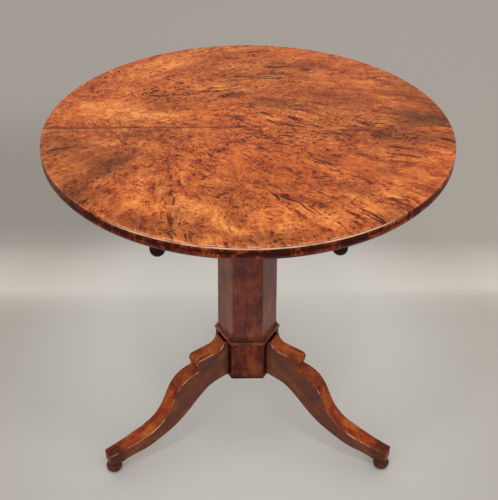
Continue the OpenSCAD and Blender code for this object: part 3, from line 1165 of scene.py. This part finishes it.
# Each mark is its x, its y, half its length, half its width, its slant and its tone.
FRONT_CLOUDS = (
    Mark(-0.268, -0.155, 0.120, 0.038, 58, -0.25),
    Mark(-0.286, -0.244, 0.060, 0.036, 40, -0.30),
    Mark(-0.150, -0.205, 0.045, 0.030, 80, -0.12),
    Mark(-0.310, -0.095, 0.090, 0.045, 20, -0.16),
    Mark(-0.350, -0.055, 0.060, 0.036, 0, -0.26),
    Mark(-0.200, -0.024, 0.120, 0.026, 2, -0.16),
    Mark(-0.122, -0.290, 0.040, 0.020, 80, -0.16),
    Mark(-0.175, -0.305, 0.060, 0.030, -30, -0.22),
    Mark(-0.195, -0.235, 0.045, 0.040, 70, 0.16),
    Mark(-0.070, -0.280, 0.080, 0.020, -45, 0.17),
    Mark(-0.110, -0.330, 0.050, 0.026, -10, -0.14),
    Mark(0.035, -0.288, 0.060, 0.028, -20, 0.16),
    Mark(0.140, -0.308, 0.085, 0.036, 12, 0.22),
    Mark(0.135, -0.155, 0.070, 0.026, -24, 0.20),
    Mark(0.165, -0.030, 0.060, 0.025, -15, -0.12),
    Mark(0.178, -0.213, 0.045, 0.024, -24, -0.18),
    Mark(-0.238, -0.128, 0.045, 0.026, 60, -0.20),
    Mark(-0.200, -0.182, 0.040, 0.024, 60, 0.22),
    Mark(-0.035, -0.325, 0.050, 0.016, -30, 0.26),
    Mark(0.240, -0.152, 0.034, 0.018, -24, -0.16),
    Mark(0.042, -0.195, 0.050, 0.018, -34, -0.18),
    Mark(0.320, -0.146, 0.040, 0.028, -30, 0.16),
    Mark(0.086, -0.284, 0.040, 0.018, -10, 0.18),
    Mark(0.300, -0.040, 0.120, 0.040, -16, -0.30),
    Mark(0.275, -0.090, 0.060, 0.026, -24, -0.16),
    Mark(0.202, -0.090, 0.055, 0.024, -20, -0.12),
    Mark(0.035, -0.352, 0.075, 0.022, 5, -0.20),
    Mark(0.085, -0.252, 0.080, 0.012, -24, -0.20),
    Mark(0.225, -0.290, 0.050, 0.022, 26, -0.16),
    Mark(0.250, -0.222, 0.055, 0.034, -30, 0.20),
)
FRONT_CALM = (
    Mark(-0.300, -0.100, 0.090, 0.120, 0, 0.60),
    Mark(-0.190, -0.300, 0.060, 0.040, -30, 0.50),
    Mark(-0.050, -0.340, 0.060, 0.030, -10, 0.50),
    Mark(0.190, -0.140, 0.070, 0.040, -25, 0.80),
    Mark(0.300, -0.170, 0.100, 0.100, -40, 0.60),
    Mark(0.020, -0.170, 0.200, 0.120, -20, -0.35),
)
FRONT_CRACKS = (Mark(-0.338, -0.077, 0.034, 0.0042, 19, 1.0),)
REAR_CLOUDS = (
    Mark(-0.270, 0.078, 0.090, 0.046, 8, 0.24),
    Mark(-0.175, 0.040, 0.100, 0.024, 0, 0.20),
    Mark(-0.185, 0.260, 0.110, 0.050, 36, 0.30),
    Mark(-0.050, 0.350, 0.120, 0.020, 2, 0.18),
    Mark(-0.175, 0.125, 0.040, 0.030, 70, -0.14),
    Mark(-0.023, 0.134, 0.030, 0.016, 20, -0.30),
    Mark(0.060, 0.225, 0.100, 0.034, 6, -0.12),
    Mark(0.328, 0.025, 0.090, 0.048, -10, -0.42),
    Mark(0.335, 0.140, 0.050, 0.050, 0, -0.18),
    Mark(0.200, 0.215, 0.090, 0.026, -10, 0.10),
    Mark(0.095, 0.275, 0.070, 0.028, 0, -0.18),
    Mark(0.305, 0.200, 0.050, 0.040, 0, -0.16),
    Mark(0.185, 0.105, 0.140, 0.060, 8, -0.12),
    Mark(0.105, 0.086, 0.050, 0.040, 0, -0.10),
    Mark(-0.045, 0.040, 0.060, 0.024, 0, 0.14),
    Mark(0.345, 0.095, 0.050, 0.040, 0, -0.14),
    Mark(0.045, 0.095, 0.056, 0.034, 0, -0.26),
    Mark(0.190, 0.034, 0.060, 0.024, 0, -0.12),
)
REAR_CALM = (
    Mark(-0.290, 0.090, 0.100, 0.070, 0, 0.85),
    Mark(-0.200, 0.310, 0.130, 0.050, 15, 0.60),
    Mark(0.230, 0.140, 0.160, 0.100, 0, 0.85),
    Mark(0.340, 0.040, 0.100, 0.070, 0, 0.90),
    Mark(0.180, 0.290, 0.140, 0.050, -10, 0.60),
    Mark(-0.165, 0.150, 0.060, 0.100, 0, -0.90),
)


@dataclass
class TableTop:
    """The round top: two veneer leaves, the band round the edge and the core.

    Attributes:
        body: The CAD body that it belongs to.
        segments: Steps round the rim.
        bevel_w: Width of the bevel under the edge band.
        bevel_h: Height of that bevel.
        ease: How far the bevel's corners are eased.
        board: Width of the boards in the core.
    """

    body: str = "top"
    segments: int = 288
    bevel_w: float = 5.5 * MM
    bevel_h: float = 8.0 * MM
    ease: float = 0.6 * MM
    board: float = 142 * MM

    def leaf(self, node: str, name: str, start: float, finish: BurrVeneer) -> None:
        """Builds one half-round leaf with its rounded rim.

        Args:
            node: The CAD leaf.
            name: The new piece's name.
            start: The angle at which the leaf starts.
            finish: Its figure.
        """
        low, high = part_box(node)
        thick = high.z - low.z
        radius = high.x
        outline = [(0.0, low.z), (radius, low.z)]
        outline += arc((radius - thick, low.z), thick, 0, 90, 8)[1:]
        outline += [(0.0, high.z)]
        piece = lathe(name, outline, self.segments // 2, start, 180)
        stand_in(piece, self.body, node, finish)

    def band(self) -> None:
        """Builds the edge band with its bevel."""
        low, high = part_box("edge_band")
        _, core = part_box("top_core")
        inner, outer = core.x, high.x
        outline = [
            (inner - self.bevel_w, low.z),
            (outer - self.bevel_w - self.ease, low.z),
            (outer - self.bevel_w, low.z + self.ease),
            (outer - self.ease * 0.8, low.z + self.bevel_h - self.ease),
            (outer, low.z + self.bevel_h + self.ease),
            (outer, high.z),
            (inner, high.z),
            (inner, low.z + self.bevel_h),
        ]
        piece = lathe("edge_band_polished", outline, self.segments)
        stand_in(piece, self.body, "edge_band", MottledEdge(high.z))

    def build(self) -> None:
        """Builds and dresses the whole top."""
        front = BurrVeneer("burr leaf front", Flow(x=-0.19, y=0.03, core=0.13, bend=0.3),
                           seed=0.0, curl=0.8, marks=FRONT_CLOUDS, calm=FRONT_CALM,
                           cracks=FRONT_CRACKS)
        rear = BurrVeneer("burr leaf rear", Flow(x=-0.30, y=0.06, core=0.14, bend=0.9),
                          seed=3.7, curl=0.9, marks=REAR_CLOUDS, calm=REAR_CALM)
        self.leaf("veneer_front", "leaf_front", 180, front)
        self.leaf("veneer_rear", "leaf_rear", 0, rear)
        self.band()
        core = PlainTimber("core timber", "5a3a20", "8f683f", Grain.ALONG_X, self.board)
        SHELF.lay(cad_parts["top_core"], core)


@dataclass
class Pillar:
    """The column, its collar and the block and cap under it.

    Attributes:
        body: The CAD body that it belongs to.
        bead_h: Height of the bead along the collar's lower edge.
        shaft_ease: How far the shaft's edges are eased.
        block_ease: How far the block's edges are.
        trim_ease: How far those of the collar and cap are.
    """

    body: str = "stand"
    bead_h: float = 9.0 * MM
    shaft_ease: float = 0.9 * MM
    block_ease: float = 0.8 * MM
    trim_ease: float = 0.3 * MM

    def build(self) -> None:
        """Builds and dresses the pillar."""
        shaft = ShaftVeneer("shaft veneer", "3e130a", "73260f", "95421f", figure=0.5, shine=0.9)
        low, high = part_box("collar_moulding")
        collar = CollarVeneer("collar moulding", "551b0c", "9a3f1b", "c4713f", Grain.ALONG_X,
                              gloss=0.18, shine=0.7, bead_z=low.z + self.bead_h, lip_z=high.z)
        block = BlockVeneer("block veneer", "35100a", "6b2611", "8f4625", figure=0.7, shine=0.4)
        cap = StraightVeneer("cap veneer", "200a06", "43180c", "5e2c18", figure=0.7, shine=0.2)
        eased("column_shaft", "shaft_polished", self.body, shaft, self.shaft_ease)
        eased("collar_moulding", "collar_polished", self.body, collar, self.trim_ease, 2)
        eased("base_block", "block_polished", self.body, block, self.block_ease)
        eased("base_cap", "cap_polished", self.body, cap, self.trim_ease, 2)


@dataclass
class TripodLegs:
    """The three stepped legs, their dowels and their turned feet.

    Attributes:
        body: The CAD body that they belong to.
        belly: The largest radius of a foot.
        flat_r: Radius of the flat that it stands on.
        neck_r: Radius of its neck.
        ring_r: Radius of the ring under the leg.
        ball_h: Height of its ball.
        foot_h: Height of the whole foot below the leg.
        spigot_r: Radius of the spigot in the leg.
        leg_ease: How far a leg's edges are eased.
        sharp_r: Closer than this to the middle of the table, at the block, they stay sharp.
        sharp_z: Lower than this, on the foot, they stay sharp too.
    """

    body: str = "stand"
    belly: float = 16.98 * MM
    flat_r: float = 9.0 * MM
    neck_r: float = 8.6 * MM
    ring_r: float = 11.4 * MM
    ball_h: float = 23.0 * MM
    foot_h: float = 28.0 * MM
    spigot_r: float = 6.0 * MM
    leg_ease: float = 1.5 * MM
    sharp_r: float = 61 * MM
    sharp_z: float = 34 * MM

    def foot_outline(self, top: float) -> list[tuple[float, float]]:
        """The turned section of a foot: ball, neck, ring and spigot.

        Args:
            top: The height of the spigot's upper end.

        Returns:
            Points as distance from the foot's axis and height.
        """
        low = math.acos(self.flat_r / self.belly)
        high = math.acos(self.neck_r / self.belly)
        half = self.ball_h / (math.sin(low) + math.sin(high))
        middle = half * math.sin(low)
        steps = 28
        gap, lip = 0.6 * MM, 0.2 * MM
        flare, rise = 0.1 * MM, 0.7 * MM
        outline = [(0.0, 0.0)]
        for i in range(steps + 1):
            angle = -low + (low + high) * i / steps
            outline.append((self.belly * math.cos(angle), middle + half * math.sin(angle)))
        # The neck flares a little above the ball, and the ring is close under the leg.
        round_r = (self.foot_h - self.ball_h) / 2 - gap
        ring_z = self.foot_h - round_r - lip
        outline.append((self.neck_r + flare, self.ball_h + rise))
        outline += arc((self.ring_r - round_r, ring_z), round_r, -80, 80, 8)
        outline.append((self.ring_r - round_r, self.foot_h))
        outline += [(self.spigot_r, self.foot_h), (self.spigot_r, top), (0.0, top)]
        return outline

    def free_edges(self, leg: Leg) -> Callable[[bmesh.types.BMEdge], bool]:
        """Finds which of a leg's edges hands reach: none at the block or on the foot.

        Args:
            leg: The leg.

        Returns:
            A test for an edge.
        """
        way = Vector((math.cos(math.radians(leg.value)), math.sin(math.radians(leg.value)), 0))

        def wanted(edge: bmesh.types.BMEdge) -> bool:
            """Whether this edge is eased."""
            middle = (edge.verts[0].co + edge.verts[1].co) / 2
            return middle.dot(way) >= self.sharp_r and middle.z >= self.sharp_z

        return wanted

    def build(self) -> None:
        """Builds and dresses the legs and feet."""
        foot_wood = TurnedWood("foot wood", "2a130c", "6a3d28", 0.24)
        dowel = PlainTimber("dowel wood", "a07a48", "c8a470", Grain.UPRIGHT)
        for leg in Leg:
            word = leg.name.lower()
            wood = LegVeneer(f"leg wood {word}", "541a08", "983c13", "c96a28", Grain.ALONG_X,
                             turn=leg.value, slope=-38, gloss=0.18, figure=0.48, shine=0.22)
            low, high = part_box(f"foot_{word}")
            eased(f"leg_{word}", f"leg_{word}_polished", self.body, wood, self.leg_ease, 3,
                  self.free_edges(leg))
            foot = lathe(f"foot_{word}_turned", self.foot_outline(high.z), 64)
            middle = (low + high) / 2
            foot.data.transform(Matrix.Translation((middle.x, middle.y, 0.0)))
            stand_in(foot, self.body, f"foot_{word}", foot_wood)
            SHELF.lay(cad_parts[f"dowels_{word}"], dowel)


@dataclass
class TiltHead:
    """The head block, its wedge and pins, and the battens under the top.

    Attributes:
        block_ease: How far the block's edges are eased.
        batten_ease: How far the battens' edges are.
    """

    block_ease: float = 1.2 * MM
    batten_ease: float = 1.5 * MM

    def build(self) -> None:
        """Builds and dresses the tilting head."""
        block = PlainTimber("head block timber", "4a2e19", "7d5834", Grain.ALONG_X)
        batten = PlainTimber("batten timber", "4c3019", "80592f", Grain.ALONG_Y)
        pale = PlainTimber("pin wood", "7c5a34", "b08a58", Grain.ALONG_X)
        iron = OldIron()
        eased("head_block", "head_block_eased", "stand", block, self.block_ease)
        SHELF.lay(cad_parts["head_wedge"], pale)
        for side in Side:
            word = side.name.lower()
            eased(f"batten_{word}", f"batten_{word}_eased", "top", batten, self.batten_ease)
            SHELF.lay(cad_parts[f"tilt_pin_{word}"], pale)
        SHELF.lay(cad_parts["batten_screws"], iron)
        SHELF.lay(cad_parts["cap_screws"], iron)


@dataclass
class Bolts:
    """The two sliding bolts with their guide blocks and ball knobs.

    Attributes:
        slot: Longer than the slots in the guides, whose edges stay sharp.
        guide_ease: How far the other edges of the guides are eased.
    """

    slot: float = 32 * MM
    guide_ease: float = 0.7 * MM

    def knob(self, word: str, finish: TurnedWood) -> None:
        """Builds a turned ball knob.

        Args:
            word: Left or right.
            finish: Its finish.
        """
        low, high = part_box(f"knob_{word}")
        radius = (high.z - low.z) / 2
        middle_z = (high.z + low.z) / 2
        back = high.y - low.y - radius
        end = math.degrees(math.asin(back / radius))
        outline = [(0.0, -radius), *arc((0.0, 0.0), radius, -90, end, 24)[1:], (0.0, back)]
        piece = lathe(f"knob_{word}_turned", outline, 48)
        lay_down = Matrix.Rotation(math.radians(-90), 4, "X")
        to = Matrix.Translation(((low.x + high.x) / 2, low.y + radius, middle_z))
        piece.data.transform(to @ lay_down)
        stand_in(piece, f"{word}_bolt", f"knob_{word}", finish)

    def build(self) -> None:
        """Builds and dresses both bolts."""
        guide = PlainTimber("guide timber", "472b17", "7a5430", Grain.ALONG_Y)
        rod = TurnedWood("rod wood", "5d3c20", "9a7040", 0.5, Grain.ALONG_Y)
        ebony = TurnedWood("knob wood", "1a0a06", "3a1a10", 0.24, Grain.ALONG_Y)
        for side in Side:
            word = side.name.lower()
            eased(f"guide_{word}", f"guide_{word}_eased", "top", guide, self.guide_ease, 2,
                  longer_than(self.slot))
            SHELF.lay(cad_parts[f"bolt_rod_{word}"], rod)
            self.knob(word, ebony)


@dataclass
class Studio:
    """A pale paper floor, soft lamps and the photograph's camera.

    Attributes:
        eye: Where the camera stands.
        pitch: How far it looks down, in degrees.
        yaw: How far it looks to the right.
        roll: How far it leans.
        lens: Its focal length for a 36 mm sensor, in millimetres.
        lamp_at: Where the right lamp hangs; the left one mirrors it.
        lamp_to: The point that both face.
        lamp_power: The power of each, in watts.
        lamp_size: The side of each, which is square.
        reach: How far the paper goes on each side.
        near_y: Where the paper's colours start.
        span: How deep they go from there.
        paper: Its colours, each with its place in that depth, which paint a bright band of light
            and shade farther back.
    """

    eye: Point = (-0.0294, -1.4805, 1.5375)
    pitch: float = 35.97
    yaw: float = 1.254
    roll: float = 0.345
    lens: float = 64.8
    lamp_at: Point = (0.62, -1.2, 3.2)
    lamp_to: Point = (0.0, 0.0, 0.5)
    lamp_power: float = 10.0
    lamp_size: float = 0.35
    reach: float = 9.0
    near_y: float = -0.30
    span: float = 3.0
    paper: tuple[tuple[float, str], ...] = (
        (0.00, "bbb8b2"),
        (0.10, "bab6b0"),
        (0.215, "bab5ae"),
        (0.238, "c3bdb6"),
        (0.252, "d5cfc8"),
        (0.285, "c7c1ba"),
        (0.325, "aba6a0"),
        (0.50, "a9a39d"),
        (0.90, "aaa5a0"),
    )

    def floor(self) -> None:
        """Lays the paper floor, with a painted bright band of light and painted shade behind the
        table.
        """
        mesh = bmesh.new()
        corners = [(-1, -1), (1, -1), (1, 1), (-1, 1)]
        mesh.faces.new([mesh.verts.new((x * self.reach, y * self.reach, 0.0)) for x, y in corners])
        paper = piece_of("floor", mesh)
        s = Shader(bpy.data.materials.new("paper floor"))
        spot = s.place()
        x, y, _ = s.parts(spot)
        colour = s.ramp((y - self.near_y) / self.span, self.paper)
        # Painted shade darkens it a little to the left, most of all behind the table and beside
        # it.
        behind = y.step(0.60, 0.80) * y.step(1.75, 1.0) * 0.85
        beside = y.step(0.42, 0.36) * y.step(-0.15, 0.0) * 0.22
        left = x.step(0.9, -0.7) * (behind + 0.15 + beside)
        colour = s.mix(left, colour, "dfe0df", "MULTIPLY")
        # Painted light makes it palest round the legs, against the table's shadow; it is darker
        # far out to the sides.
        middle = s.length(s.vector(x, y * 0.8 - 0.16, 0.0))
        colour = s.mix(middle.step(0.70, 0.20) * 0.55, colour, "ecefed")
        aside = abs(x).step(0.80, 1.30) * y.step(1.0, 0.7)
        colour = s.mix(aside, colour, "b7b2ab")
        # Polished wood mirrors a darker floor, so that it doesn't turn milky.
        colour = s.mix(s.mirrored() * 0.6, colour, "2a2622")
        grain = s.noise(spot, 160, 3, 0.6)
        material = s.surface(colour, 0.85 + (grain - 0.5) * 0.1, s.bump(grain, 0.2 * MM),
                             Specular_IOR_Level=0.1)
        paper.data.materials.append(material)
        paper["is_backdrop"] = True

    def lamp(self, side: Side) -> None:
        """Hangs a soft square lamp.

        Args:
            side: Which of the two it is.
        """
        name = f"{side.name.lower()} lamp"
        data = bpy.data.lights.new(name, "AREA")
        data.energy = self.lamp_power
        data.shape = "SQUARE"
        data.size = self.lamp_size
        lamp = bpy.data.objects.new(name, data)
        x, y, z = self.lamp_at
        lamp.location = (side.value * x, y, z)
        look = Vector(self.lamp_to) - lamp.location
        lamp.rotation_euler = look.to_track_quat("-Z", "Y").to_euler()
        bpy.context.scene.collection.objects.link(lamp)

    def sky(self) -> None:
        """Fills the shadows evenly; polished wood sees a darker room."""
        world = bpy.data.worlds.new("studio air")
        bpy.context.scene.world = world
        s = Shader(world)
        air = {"Color": paint("f4f1ec"), "Strength": 1.0}
        room = {"Color": paint("f4efe6"), "Strength": 0.34}
        bright = s.node("ShaderNodeBackground", inputs=air)
        dim = s.node("ShaderNodeBackground", inputs=room)
        both = s.node("ShaderNodeMixShader", inputs={0: s.mirrored(), 1: bright, 2: dim})
        s.node("ShaderNodeOutputWorld", inputs={"Surface": both})

    def camera(self) -> None:
        """Stands the camera where the photograph's stood."""
        data = bpy.data.cameras.new("camera")
        data.lens = self.lens
        data.sensor_width = 36.0
        eye = bpy.data.objects.new("camera", data)
        look = (Matrix.Rotation(math.radians(-self.yaw), 4, "Z")
                @ Matrix.Rotation(math.radians(90 - self.pitch), 4, "X")
                @ Matrix.Rotation(math.radians(self.roll), 4, "Z"))
        eye.matrix_world = Matrix.Translation(self.eye) @ look
        bpy.context.scene.collection.objects.link(eye)
        bpy.context.scene.camera = eye

    def build(self) -> None:
        """Sets up the whole studio."""
        self.floor()
        for side in Side:
            self.lamp(side)
        self.sky()
        self.camera()
        bpy.context.scene.view_settings.view_transform = "Standard"


def write_sizes() -> None:
    """Puts the CAD box and the visual model's box side by side."""
    boxes = {"cad": CAD_BOX, "visual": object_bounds()}
    plain = {name: [list(map(float, corner)) for corner in box] for name, box in boxes.items()}


def main() -> None:
    """Builds every sub-assembly in order and reports each one."""
    logging.basicConfig(level=logging.INFO, format="%(message)s")
    parts: Sequence[tuple[str, Callable[[], None]]] = (
        ("studio", Studio().build),
        ("top", TableTop().build),
        ("pillar", Pillar().build),
        ("legs", TripodLegs().build),
        ("tilting head", TiltHead().build),
        ("bolts", Bolts().build),
    )
    for name, build in parts:
        build()
        LOG.info("built the %s", name)
    write_sizes()


if __name__ == "__main__":
    main()
